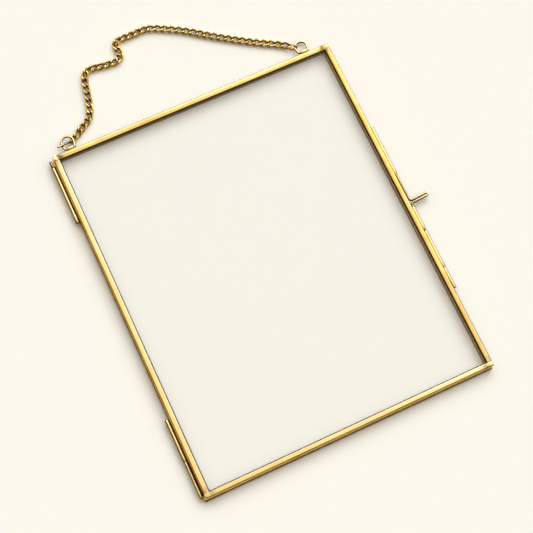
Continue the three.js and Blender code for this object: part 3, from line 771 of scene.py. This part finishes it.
# Corner solder: the rails are soft-soldered where they meet, and the solder stands a little proud
# as small uneven lumps, paler than the brass and cleaned up by hand.
SOLDER_LUMPS = {  # leaf corner: lumps as (along x from the outer corner, along y, radius, height)
    ("front", "left", "top"): [(1.9, 1.9, 2.0, 0.15), (2.4, 2.5, 0.8, 0.2)],
    ("front", "right", "top"): [(1.3, 2.2, 0.8, 0.11), (2.6, 1.2, 0.6, 0.12)],
    ("front", "left", "bottom"): [(2.7, 2.9, 0.7, 0.2), (1.5, 1.6, 1.1, 0.14), (2.0, 1.0, 0.5, 0.16)],
    ("front", "right", "bottom"): [
        (1.3, 2.6, 0.7, 0.2), (2.8, 2.5, 0.65, 0.2), (2.0, 1.3, 0.7, 0.18), (1.2, 1.1, 0.6, 0.14),
    ],
    ("rear", "left", "top"): [(1.4, 1.5, 1.3, 0.1)],
    ("rear", "right", "top"): [(1.5, 1.3, 1.3, 0.1)],
    ("rear", "left", "bottom"): [(1.5, 1.4, 1.3, 0.1)],
    ("rear", "right", "bottom"): [(1.4, 1.6, 1.3, 0.1)],
}
SOLDER_SINK = 0.1  # how far a lump's middle is under the rail's face
SWELL, SWELL_FINENESS, SWELL_SHIFT = 0.3, 1.4, 5.1  # a lump's uneven outline
RIPPLE, RIPPLE_FINENESS, RIPPLE_SHIFT = 0.1, 3.7, 3.3
SOLDER_FOOT = 0.04  # a lump starts to brown this far above the rail's face
FOOT_RISE = 7
SOLDER_PATCHES = (0, 0.8, 0.9)
corner_solder = brass(
    "corner_solder", light=(0.94, 0.88, 0.62), deep=(0.86, 0.68, 0.32), stain_and_shade=(0.12, 0.055, 0.018),
    roughness=0.2, blotch_scale=420, grain=(350, 350, 350), relief=0.06,
)


def solder_lump(bm, centre, radius, height, seed):
    """A flattened lump with an uneven edge."""
    swell_place = Vector((seed * SWELL_SHIFT, 0, 0))
    ripple_place = Vector((0, seed * RIPPLE_SHIFT, 0))
    for vertex in bmesh.ops.create_icosphere(bm, subdivisions=4, radius=1)["verts"]:
        direction = vertex.co.normalized()
        swell = 1 + SWELL * noise.noise(direction * SWELL_FINENESS + swell_place)
        swell += RIPPLE * noise.noise(direction * RIPPLE_FINENESS + ripple_place)
        flat = Vector((direction.x * radius, direction.y * radius, direction.z * height))
        vertex.co = (centre + flat * swell) * MM


for (leaf, across, end), lumps in SOLDER_LUMPS.items():
    low, high = (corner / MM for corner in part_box(f"{leaf}_{end}_rail"))
    bm = bmesh.new()
    for number, (in_x, in_y, radius, height) in enumerate(lumps):
        x = low.x + in_x if across == "left" else high.x - in_x
        y = low.y + in_y if end == "bottom" else high.y - in_y
        place = Vector((x, y, high.z - SOLDER_SINK))
        solder_lump(bm, place, radius, height, number + 3 * len(across + end))
    solder = finish_piece(f"{leaf}_{end}_{across}_corner_solder", bm, corner_solder)
    foot = high.z + SOLDER_FOOT
    set_mark(
        solder, "stain_and_shade",
        lambda point, facing: (foot - point.z) * FOOT_RISE + patchy(point, *SOLDER_PATCHES),
    )
    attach(solder, f"{leaf}_leaf")

# Tubes: drawn brass tube, sawn to length and soldered to the rails' outer walls by a thin seam. Three
# of the hinge seams are coloured near black, as painted shade in the crevice between tube and wall.
# Hinge knuckles are on the left, the pull pin's tubes on the right and the two ring tubes on the top
# rail, all level with the gap between the leaves.
TUBE_LEVEL = 3.6
TUBE_SIDES = 28
TUBE_STATION = 3  # distance between the rings of a tube
RIM_BREAK = 0.12  # how far a sawn rim's edge is broken
RIM_ALONG, RIM_IN = 0.4, 0.3  # the broken edge's middle point, as shares of that
HINGE_BORE = 1.46
KNUCKLE_OUTER = {"rear": 2.6, "front": 2.1}
CLASP_OUTER = 2.4
CLASP_BORE = 1.76
KEEPER_OUTER = 2.41
KEEPER_BORE = 1.8
RING_TUBE_OUTER = 2.4
RING_TUBE_BORE = 1.8
SEAM_HEIGHT = 0.75
SEAM_LEVEL = {"rear": -0.95, "front": 0.55}  # the seam's middle above the tube's axis
SEAM_SINK = 0.05  # how far a seam goes into the tube
SEAM_ROOT = 0.1  # and into the wall
SEAM_SHORT = 0.04  # it ends this share of the tube's length before the tube's ends
SEAM_STATION = 1.2
SEAM_LUMPS = 0.35
LUMP_FINENESS = 0.7
SEAM_END = 0.35  # its height at its ends, as a share of the full one
SEAM_SECTION = ((0, -1), (0.5, -0.75), (1, -1), (1, 1), (0.5, 0.55), (0, 1))  # to the wall, up
tube_brass = brass(
    "tube_brass", light=(0.92, 0.74, 0.34), deep=(0.84, 0.60, 0.22), stain_and_shade=(0.09, 0.042, 0.014),
    roughness=0.3, blotch_scale=140, grain=(700, 90, 700), relief=0.02,
)
# Near black: painted shade in the crevice between a hinge tube and the wall.
shaded_seam = brass(
    "seam_dark_as_shade", light=(0.07, 0.04, 0.018), deep=(0.03, 0.015, 0.006),
    stain_and_shade=(0.01, 0.005, 0.002), roughness=0.6, blotch_scale=500, grain=(400, 400, 400), relief=0.08,
)


def tube_rings(start, end, outer, bore):
    """Rings of a tube, out along its outside and back through its bore, with broken rims."""
    along = (end - start).normalized()
    length = (end - start).length
    count = max(2, round(length / TUBE_STATION))
    rim = outer / 2 - RIM_BREAK * RIM_IN
    run = [(0, outer / 2 - RIM_BREAK), (RIM_BREAK * RIM_ALONG, rim)]
    run += [(RIM_BREAK + (length - 2 * RIM_BREAK) * k / count, outer / 2) for k in range(count + 1)]
    run += [(length - RIM_BREAK * RIM_ALONG, rim), (length, outer / 2 - RIM_BREAK)]
    run += [(length, bore / 2 + RIM_BREAK / 2), (length - RIM_BREAK / 2, bore / 2)]
    run += [(RIM_BREAK / 2, bore / 2), (0, bore / 2 + RIM_BREAK / 2)]
    side = along.orthogonal().normalized()
    other = along.cross(side)
    return [circle_points(start + along * at, side, other, radius, TUBE_SIDES) for at, radius in run]


def seam_rings(start, end, wall, tube_radius, level):
    """Rings of the uneven solder seam between a tube along start to end and the wall beside it."""
    along = (end - start).normalized()
    length = (end - start).length
    towards = wall.normalized()
    near = math.sqrt(max(tube_radius**2 - level**2, 0)) - SEAM_SINK
    far = wall.length + SEAM_ROOT
    count = max(6, round(length / SEAM_STATION))
    rings = []
    for k in range(count + 1):
        at = length * (SEAM_SHORT + (1 - 2 * SEAM_SHORT) * k / count)
        edge = min(1, min(k, count - k) / 2 + SEAM_END)
        lump = 1 + SEAM_LUMPS * noise.noise(Vector((at * LUMP_FINENESS, start.x, start.y)))
        ring = []
        for share, up in SEAM_SECTION:
            point = start + along * at + towards * (near * (1 - share) + far * share)
            point.z += level + up * SEAM_HEIGHT / 2 * lump * edge
            ring.append(point)
        rings.append(ring)
    return rings


SAWN_FACING = 0.6  # what faces along the tube more than this is its sawn end
# Painted shade on the tubes:
TUBE_SHADE_OFFSET = 0.05
AWAY_SHADE = 0.7  # painted shade added on the side away from the rail
MOST_TUBE_SHADE = 0.6
RING_TUBE_LESS_SHADE = 0.6  # less on the ring tubes
END_REACH = 2.5  # how far the painted shade at an end reaches along the tube
# a tube gets a painted highlight where it faces up more than this
TUBE_HIGHLIGHT_FROM, TUBE_HIGHLIGHT_RISE = 0.6, 3


def make_tube(node, leaf, outer, bore, end_shade, seam_metal):
    """A tube and its seam in the place of a CAD tube, whose box also holds the tube's web."""
    low, high = (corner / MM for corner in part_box(node))
    if "ring" in node:
        y = high.y - outer / 2
        start, end = Vector((low.x, y, TUBE_LEVEL)), Vector((high.x, y, TUBE_LEVEL))
        wall = Vector((0, low.y - y, 0))
    else:
        left = (low.x + high.x) < 0
        x = low.x + outer / 2 if left else high.x - outer / 2
        start, end = Vector((x, low.y, TUBE_LEVEL)), Vector((x, high.y, TUBE_LEVEL))
        wall = Vector(((high.x if left else low.x) - x, 0, 0))
    away = -wall.normalized()
    body = f"{leaf}_leaf"
    bm = bmesh.new()
    join_rings(bm, tube_rings(start, end, outer, bore), True)
    tube = finish_piece(node.replace("_knuckle", "") + "_drawn_tube", bm, tube_brass)
    along = (end - start).normalized()

    def tube_shade(point, facing):
        """Painted shade: dark in the bore and on the sawn ends, and brown down the side away from the
        rail.
        """
        from_end = min((point - start).length, (point - end).length)
        middle = start + along * (point - start).dot(along)
        if (point - middle).length < (outer + bore) / 4 or abs(facing.dot(along)) > SAWN_FACING:
            return 1
        side_shade = AWAY_SHADE * facing.dot(away) + TUBE_SHADE_OFFSET
        if "ring" in node:
            side_shade -= RING_TUBE_LESS_SHADE
        side_shade = min(MOST_TUBE_SHADE, max(0, side_shade))
        return side_shade + end_shade * math.exp(-from_end / END_REACH)

    def tube_highlight(point, facing):
        """Painted highlight: pale on top, and on the hinge tubes at the left pale towards the rail.
        """
        return facing.x if away.x < 0 else (facing.z - TUBE_HIGHLIGHT_FROM) * TUBE_HIGHLIGHT_RISE

    set_mark(tube, "painted_highlight", tube_highlight)
    set_mark(tube, "stain_and_shade", tube_shade)
    bm = bmesh.new()
    join_rings(bm, seam_rings(start, end, wall, outer / 2, SEAM_LEVEL[leaf]), False, capped=True)
    seam = finish_piece(node.replace("_knuckle", "") + "_seam", bm, seam_metal)
    # The seam takes half of its tube's painted shade at the ends.
    set_mark(seam, "stain_and_shade", lambda point, facing: end_shade / 2)
    for piece in (tube, seam):
        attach(piece, body)
    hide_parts(node)


for place, leaf, end_shade, seam_metal in (
    ("upper", "rear", 0.25, shaded_seam), ("upper", "front", 0.9, tube_brass),
    ("lower", "rear", 0.25, shaded_seam), ("lower", "front", 0.25, shaded_seam),
):
    knuckle = f"hinge_{place}_{leaf}_knuckle"
    make_tube(knuckle, leaf, KNUCKLE_OUTER[leaf], HINGE_BORE, end_shade, seam_metal)
for node, leaf, outer, bore, end_shade in (
    ("clasp_upper_guide_tube", "front", CLASP_OUTER, CLASP_BORE, 0.2),
    ("clasp_lower_guide_tube", "front", CLASP_OUTER, CLASP_BORE, 0.2),
    ("clasp_upper_keeper", "rear", KEEPER_OUTER, KEEPER_BORE, 0.3),
    ("clasp_lower_keeper", "rear", CLASP_OUTER, CLASP_BORE, 0.3),
    ("left_ring_tube", "rear", RING_TUBE_OUTER, RING_TUBE_BORE, 0.3),
    ("right_ring_tube", "rear", RING_TUBE_OUTER, RING_TUBE_BORE, 0.3),
):
    make_tube(node, leaf, outer, bore, end_shade, corner_solder)

# Wires: bright hard brass wire. A straight pin with rounded ends holds each hinge, and the pull pin
# is one wire bent to a narrow finger loop between its two stems.
PIN_STAIN = 0.3
wire_brass = brass(
    "wire_brass", light=(0.93, 0.74, 0.34), deep=(0.84, 0.58, 0.2), stain_and_shade=(0.09, 0.036, 0.008),
    roughness=0.14, blotch_scale=200, grain=(600, 600, 600), relief=0.015,
)


def add_wire(name, node, body, bm):
    piece = finish_piece(name, bm, wire_brass)
    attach(piece, body)
    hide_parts(node)
    return piece


for place in ("upper", "lower"):
    low, high = (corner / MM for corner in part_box(f"hinge_{place}_pin"))
    x = (low.x + high.x) / 2
    foot, top = Vector((x, low.y, TUBE_LEVEL)), Vector((x, high.y, TUBE_LEVEL))
    bm = bmesh.new()
    join_rings(bm, rod_rings(foot, top, high.x - low.x), False, capped=True)
    pin = add_wire(f"hinge_{place}_wire_pin", f"hinge_{place}_pin", "rear_leaf", bm)
    set_wire_light_and_stain(pin, lambda point: PIN_STAIN)

PULL_WIRE = 1.7
HANDLE_Y = 124.6
HANDLE_WIDTH = 1.76  # between the centres of the loop's two wires, beside the pin
HANDLE_TIP_WIDTH = 2.15
HANDLE_RISE = 0.95  # the loop's tip is bent up the frame this much
HANDLE_BEND = 2.0
LOOP_STEPS = 9
# Painted shade between the loop's two wires and round its foot:
FOOT_WIDTH, FOOT_LENGTH = 2.5, 3.4  # how far the loop's foot is dark, out from the axis and along
FOOT_SHADE = 0.45
GAP_REACH = 0.75  # from the loop's middle line
GAP_SHADE = 1.6
TIP_UNSHADED = 0.5  # no painted shade this near the loop's tip
low, high = (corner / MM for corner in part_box("clasp_pull_pin"))
axis_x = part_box("clasp_upper_guide_tube")[1].x / MM - CLASP_OUTER / 2
tip = high.x - PULL_WIRE / 2 - axis_x
half = HANDLE_WIDTH / 2
tip_half = HANDLE_TIP_WIDTH / 2
tip_bend = 0.97 * tip_half  # leaves a short straight run between the tip's two bends
pull_path = bent_path(
    [
        (0, high.y - HANDLE_Y, 0, 0),
        (0, half, HANDLE_BEND, LOOP_STEPS),
        (tip, HANDLE_RISE + tip_half, tip_bend, LOOP_STEPS),
        (tip, HANDLE_RISE - tip_half, tip_bend, LOOP_STEPS),
        (0, -half, HANDLE_BEND, LOOP_STEPS),
        (0, low.y - HANDLE_Y, 0, 0),
    ],
    False,
)
pull_path = [point + Vector((axis_x, HANDLE_Y, TUBE_LEVEL)) for point in pull_path]
bm = bmesh.new()
join_rings(bm, wire_rings(pull_path, PULL_WIRE, WIRE_SIDES, False), False, capped=True)
pull_pin = add_wire("pull_pin_bent_wire", "clasp_pull_pin", "pull_pin", bm)


def handle_shade(point):
    """Painted shade: black between the loop's two wires and round its foot."""
    from_middle = abs(point.y - HANDLE_Y - HANDLE_RISE * (point.x - axis_x) / tip)
    if point.x < axis_x + FOOT_WIDTH and from_middle < FOOT_LENGTH:
        return FOOT_SHADE
    if point.x < axis_x + tip - TIP_UNSHADED:
        return GAP_SHADE * max(0, 1 - from_middle / GAP_REACH)
    return 0


set_wire_light_and_stain(pull_pin, handle_shade)

# Hanging rings: two rings of the same brass wire, each bent round from a straight base that turns in
# its ring tube. The chain's ends hold on to them, and they are a little darker on the inside.
RING_WIRE = 1.5
RING_BASE = 7.2  # between the base's two corners
RING_WIDTH = 8.7  # between the centres of the round end's two sides
RING_REACH = 4.5
RING_CORNER = 0.75
CORNER_STEPS = 5
ROUND_STEPS = 14
RING_AXIS_Y = 257.0
RING_INNER_DARKENING = 0.5
RING_PLACES = (("left", -90.4, 1.5), ("right", 88.6, 13))  # side, middle, degrees that it dips
base = RING_BASE / 2
ring_lean = math.atan2(RING_REACH, base) - math.acos(RING_WIDTH / 2 / math.hypot(RING_REACH, base))
far = RING_REACH + RING_WIDTH / 2
far_corner = base + far * math.tan(ring_lean)
far_bend = 0.999 * RING_WIDTH / 2  # leaves the two bends a hair apart
for side, middle_x, tilt in RING_PLACES:
    ring_path = bent_path(
        [
            (-base, 0, RING_CORNER, CORNER_STEPS), (base, 0, RING_CORNER, CORNER_STEPS),
            (far_corner, far, far_bend, ROUND_STEPS), (-far_corner, far, far_bend, ROUND_STEPS),
        ],
        True,
    )
    lean = Matrix.Rotation(math.radians(-tilt), 3, "X")
    ring_path = [lean @ point + Vector((middle_x, RING_AXIS_Y, TUBE_LEVEL)) for point in ring_path]
    bm = bmesh.new()
    join_rings(bm, wire_rings(ring_path, RING_WIRE, WIRE_SIDES, True), True)
    ring = add_wire(f"{side}_wire_ring", f"{side}_hanging_ring", "hanger", bm)
    ring_middle = Vector((middle_x, RING_AXIS_Y + RING_REACH, TUBE_LEVEL))
    set_wire_light_and_stain(
        ring,
        lambda point: max(0, RING_WIDTH / 2 - (point - ring_middle).length) * RING_INNER_DARKENING,
    )

# Table: a pale warm surface that keeps the frame's soft shadow, under a large soft lamp from the
# upper right and an even pale sky.
PALE = (0.976, 0.982, 0.918)
TABLE_REACH = 4  # metres each way
TABLE_MIDDLE = (0, 0.12, -0.0001)  # just under the frame's back
table_material = new_material("pale_table")
table_shader = add_node(table_material, "BsdfDiffuse", {"Color": PALE})
show_surface(table_material, table_shader.outputs["BSDF"])
table_bm = bmesh.new()
bmesh.ops.create_grid(table_bm, x_segments=1, y_segments=1, size=TABLE_REACH)
bmesh.ops.translate(table_bm, verts=table_bm.verts, vec=TABLE_MIDDLE)
table = finish_piece("table", table_bm, table_material)

LAMP_DIRECTION = Vector((0.497, 0.552, 0.669))  # from the table to the lamp
lamp_data = bpy.data.lights.new("soft_lamp", "SUN")
lamp_data.energy = 0.67
lamp_data.angle = math.radians(44)
lamp_data.color = (0.97, 1, 1.05)
lamp = bpy.data.objects.new("soft_lamp", lamp_data)
lamp.rotation_euler = LAMP_DIRECTION.to_track_quat("Z", "Y").to_euler()
scene.collection.objects.link(lamp)

# Sky: an even ceiling overhead, a wide bright side at the upper right, a dim warm side at the lower
# left and a dark horizon all round. The camera itself sees the table's own pale colour.
SKY_STRENGTH = 1.11
BRIGHT_SIDE = 1.85
DIM_SIDE = 0.15
SIDE_EDGES = (-0.3, 0.45)  # the places between which the dim side turns into the bright one
CEILING = 1.0
CEILING_EDGES = (0.82, 0.93)
HORIZON_SHARE = 0.1
HORIZON_EDGES = (0.28, 0.58)
TOWARDS_BRIGHT = (0.7071, 0.7071, 0)
WARM = (1, 0.80, 0.56)
COOL = (0.97, 1, 1.06)
WARMTH_EDGES = (-0.15, 0.5)
sky = bpy.data.worlds.new("pale_sky")
scene.world = sky
sky.use_nodes = True
sky.node_tree.nodes.clear()
place = add_node(sky, "TexCoord").outputs["Generated"]
up = add_node(sky, "SeparateXYZ", {"Vector": place}).outputs["Z"]
towards = add_node(sky, "VectorMath", {0: place, 1: TOWARDS_BRIGHT}, operation="DOT_PRODUCT")
towards = towards.outputs["Value"]
side_level = remap(sky, towards, *SIDE_EDGES, DIM_SIDE, BRIGHT_SIDE, "SMOOTHSTEP")
roof_level = remap(sky, up, *CEILING_EDGES, side_level, CEILING, "SMOOTHSTEP")
horizon = remap(sky, up, *HORIZON_EDGES, HORIZON_SHARE, 1, "SMOOTHSTEP")
warmth = remap(sky, towards, *WARMTH_EDGES, 0, 1, "SMOOTHSTEP")
level = combine(sky, "MULTIPLY", combine(sky, "MULTIPLY", roof_level, horizon), SKY_STRENGTH)
sky_colour = mix_colours(sky, warmth, WARM, COOL)
lit = add_node(sky, "Background", {"Color": sky_colour, "Strength": level})
seen = add_node(sky, "Background", {"Color": PALE})
by_camera = add_node(sky, "LightPath").outputs["Is Camera Ray"]
both = mix_shaders(sky, by_camera, lit.outputs["Background"], seen.outputs["Background"])
show_surface(sky, both, "OutputWorld")
